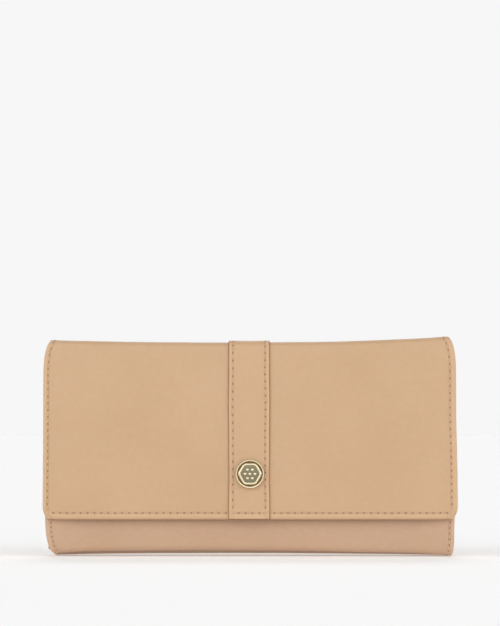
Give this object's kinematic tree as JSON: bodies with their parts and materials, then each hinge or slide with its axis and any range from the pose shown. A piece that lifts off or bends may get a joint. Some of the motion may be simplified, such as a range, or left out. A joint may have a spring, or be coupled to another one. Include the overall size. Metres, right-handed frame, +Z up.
{
  "type": "long wallet",
  "caption": "Long leather flap wallet that stands on its folded base, with a strap, a six-sided snap cap, card slots, two note compartments and a zipped coin pocket.",
  "frame": {"origin": "bottom centre of the bounding box: on the surface it stands on, midway along X and along Y", "axes": "+X along the width, to the right as seen from the front; +Y out of the back panel, so the flap faces -Y; +Z up"},
  "size_m": [0.195, 0.0326, 0.1011],
  "materials": {
    "outer_leather": "satin, very finely grained, tan beige",
    "board": "matt bonded leather board",
    "lining": "matt split leather",
    "slot_leather": "satin thin leather",
    "pocket_cloth": "matt plain weave",
    "zip_tape": "matt woven tape",
    "pale_gold": "polished pale gold plating",
    "steel": "satin nickel plating"
  },
  "bodies": {
    "back": {"back_panel_leather": "outer_leather", "back_board": "board", "back_lining": "lining", "base_leather": "outer_leather", "base_board": "board", "rear_card_slot_1": "slot_leather", "rear_card_slot_2": "slot_leather", "rear_card_slot_3": "slot_leather", "rear_card_slot_4": "slot_leather", "gusset_left": "slot_leather", "gusset_right": "slot_leather"},
    "spine": {"spine_leather": "outer_leather", "spine_lining": "lining", "strap_top": "outer_leather", "top_back_fold": "outer_leather", "top_front_fold": "outer_leather", "strap_fold": "outer_leather"},
    "flap": {"flap_leather": "outer_leather", "flap_board": "board", "flap_lining": "lining", "strap_front": "outer_leather", "snap_cap": "pale_gold", "snap_socket": "steel", "snap_spring": "steel"},
    "pocket": {"pocket_rear_wall": "pocket_cloth", "pocket_front_wall": "pocket_cloth", "pocket_bottom_fold": "pocket_cloth", "zip_tape_rear": "zip_tape", "zip_tape_front": "zip_tape", "zip_teeth_rear": "pale_gold", "zip_teeth_front": "pale_gold", "zip_top_stop_rear": "pale_gold", "zip_top_stop_front": "pale_gold", "zip_bottom_stop": "pale_gold"},
    "slider": {"zip_slider": "pale_gold"},
    "pull": {"zip_pull": "pale_gold"},
    "front": {"front_panel_leather": "outer_leather", "front_board": "board", "front_lining": "lining", "front_card_slot_1": "slot_leather", "front_card_slot_2": "slot_leather", "front_card_slot_3": "slot_leather", "snap_stud": "steel", "snap_washer": "steel", "bottom_front_fold": "outer_leather"}
  },
  "joints": [
    {"name": "back_fold", "type": "hinge", "parent": "back", "child": "spine", "pos_m": [0, 0.01515, 0.0988], "axis": [-1, 0, 0], "range_deg": [0, 90], "deforming": ["top_back_fold", "gusset_left", "gusset_right", "bottom_front_fold"]},
    {"name": "front_fold", "type": "hinge", "parent": "spine", "child": "flap", "pos_m": [0, -0.01155, 0.0988], "axis": [-1, 0, 0], "range_deg": [0, 90], "deforming": ["top_front_fold", "strap_fold"]},
    {"name": "pocket_tilt", "type": "hinge", "parent": "back", "child": "pocket", "pos_m": [0, -0.00385, 0.00435], "axis": [1, 0, 0], "range_deg": [0, 7.5], "deforming": ["gusset_left", "gusset_right"]},
    {"name": "front_tilt", "type": "hinge", "parent": "back", "child": "front", "pos_m": [0, -0.00385, 0.00435], "axis": [1, 0, 0], "range_deg": [0, 15], "deforming": ["gusset_left", "gusset_right", "bottom_front_fold"]},
    {"name": "zip_slide", "type": "slide", "parent": "pocket", "child": "slider", "axis": [-1, 0, 0], "range_m": [0, 0.142], "deforming": ["zip_teeth_rear", "zip_teeth_front"]},
    {"name": "zip_pull_swing", "type": "hinge", "parent": "slider", "child": "pull", "pos_m": [0.0738, 0.00375, 0.07615], "axis": [0, 1, 0], "range_deg": [0, 180]}
  ],
  "couplings": [
    {"joint": "pocket_tilt", "follows": "back_fold", "ratio": 0.083333},
    {"joint": "front_tilt", "follows": "back_fold", "ratio": 0.16667}
  ]
}
